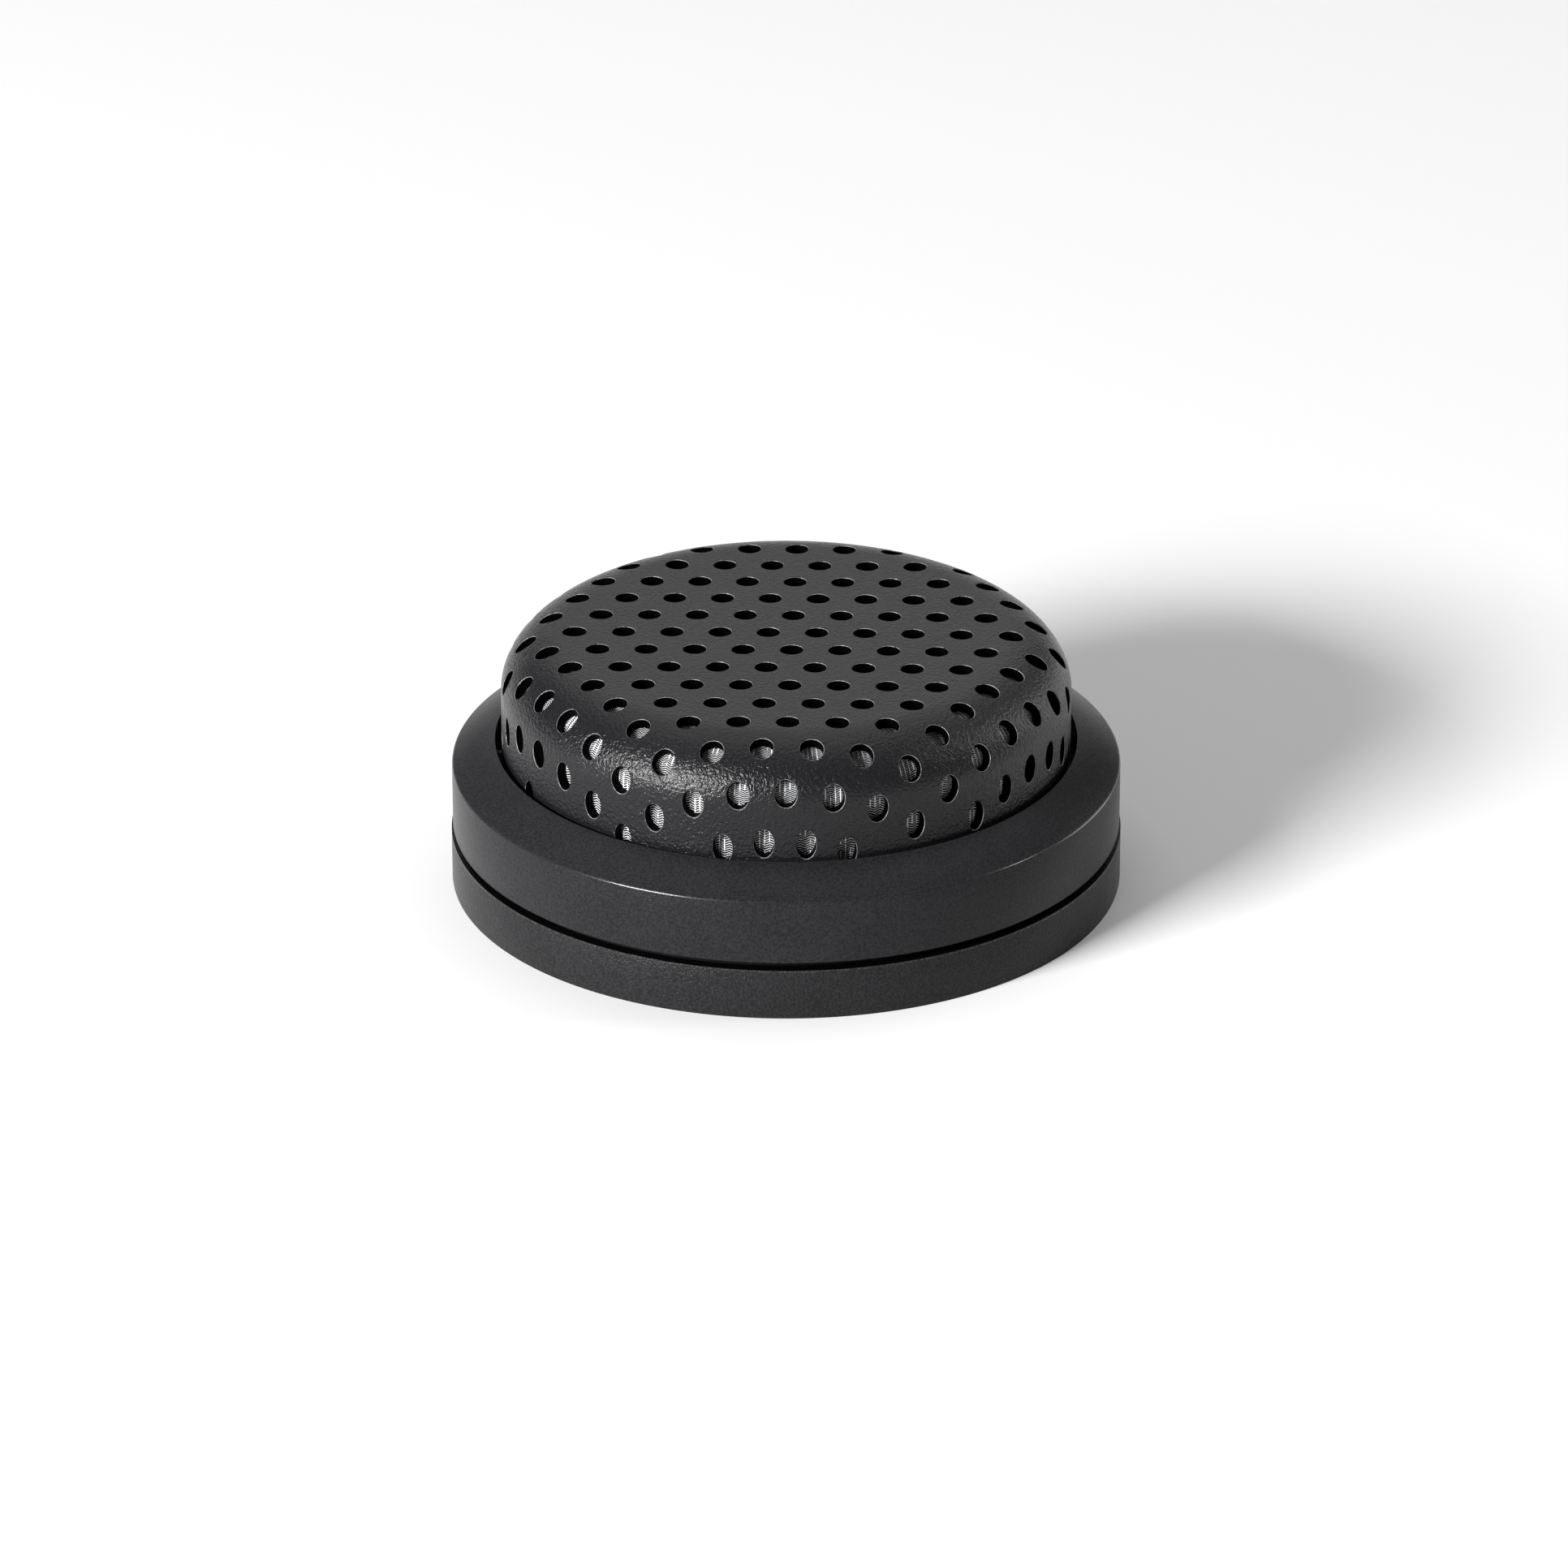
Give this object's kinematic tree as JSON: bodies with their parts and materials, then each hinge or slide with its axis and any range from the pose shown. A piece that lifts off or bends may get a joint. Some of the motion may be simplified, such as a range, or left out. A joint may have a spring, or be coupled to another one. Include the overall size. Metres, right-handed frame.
{
  "type": "car tweeter",
  "caption": "Soft-dome car tweeter in a round surface-mount case, with a perforated domed grille over a woven liner, a turned bezel ring and a moulded rear housing.",
  "frame": {"origin": "centre of the rear housing's underside, on the axis of the case", "axes": "+Z along the axis towards the listener, +Y towards the cable entry at the back, +X towards one of the two mounting inserts"},
  "size_m": [0.049, 0.049, 0.0189],
  "materials": {
    "housing": "matt moulded glass-filled nylon with a coarse grain",
    "brass": "turned brass",
    "rubber": "matt black rubber",
    "foam": "closed-cell foam",
    "zinc_steel": "zinc-plated turned steel",
    "nickel": "bright nickel plate",
    "copper": "pressed copper sheet",
    "grey_felt": "pressed wool felt",
    "white_felt": "loose polyester felt",
    "board": "green glass-epoxy board",
    "tinned_brass": "tinned brass",
    "wire_sleeve": "red PVC sleeve",
    "chassis_plastic": "moulded ABS",
    "former_film": "amber polyimide film",
    "copper_winding": "enamelled copper wire",
    "silk": "doped black silk",
    "silk_edge": "doped black cloth",
    "face_plastic": "moulded ABS, fine grain",
    "black_steel": "black zinc screws",
    "bezel_black": "satin black anodised, fine turning marks on the side",
    "grille_paint": "satin black powder coat with fine orange peel",
    "liner_weave": "silver-grey woven acoustic mesh"
  },
  "bodies": {
    "case": {"rear_housing": "housing", "mounting_inserts": "brass", "cable_grommet": "rubber", "motor_pad": "foam", "yoke_cup": "zinc_steel", "magnet": "nickel", "pole_plate": "zinc_steel", "shorting_cap": "copper", "pole_damping_pad": "grey_felt", "chamber_felt": "white_felt", "terminal_board": "board", "solder_tags": "tinned_brass", "terminal_rivets": "tinned_brass", "internal_wires": "wire_sleeve", "motor_carrier": "chassis_plastic", "surround": "silk_edge", "lead_out_wires": "copper_winding", "diaphragm_mounting_ring": "chassis_plastic", "contact_tabs": "tinned_brass", "face_plate": "face_plastic", "face_plate_screws": "black_steel", "bezel_gasket": "rubber", "bezel_ring": "bezel_black", "grille_gasket": "foam", "grille": "grille_paint", "mesh_liner": "liner_weave"},
    "diaphragm": {"dome_diaphragm": "silk", "voice_coil_former": "former_film", "voice_coil_winding": "copper_winding"}
  },
  "joints": [
    {"name": "diaphragm_travel", "type": "slide", "parent": "case", "child": "diaphragm", "axis": [0, 0, 1], "range_m": [-0.0004, 0.0004], "stiffness_N_per_m": 500, "deforming": ["surround", "lead_out_wires"]}
  ]
}
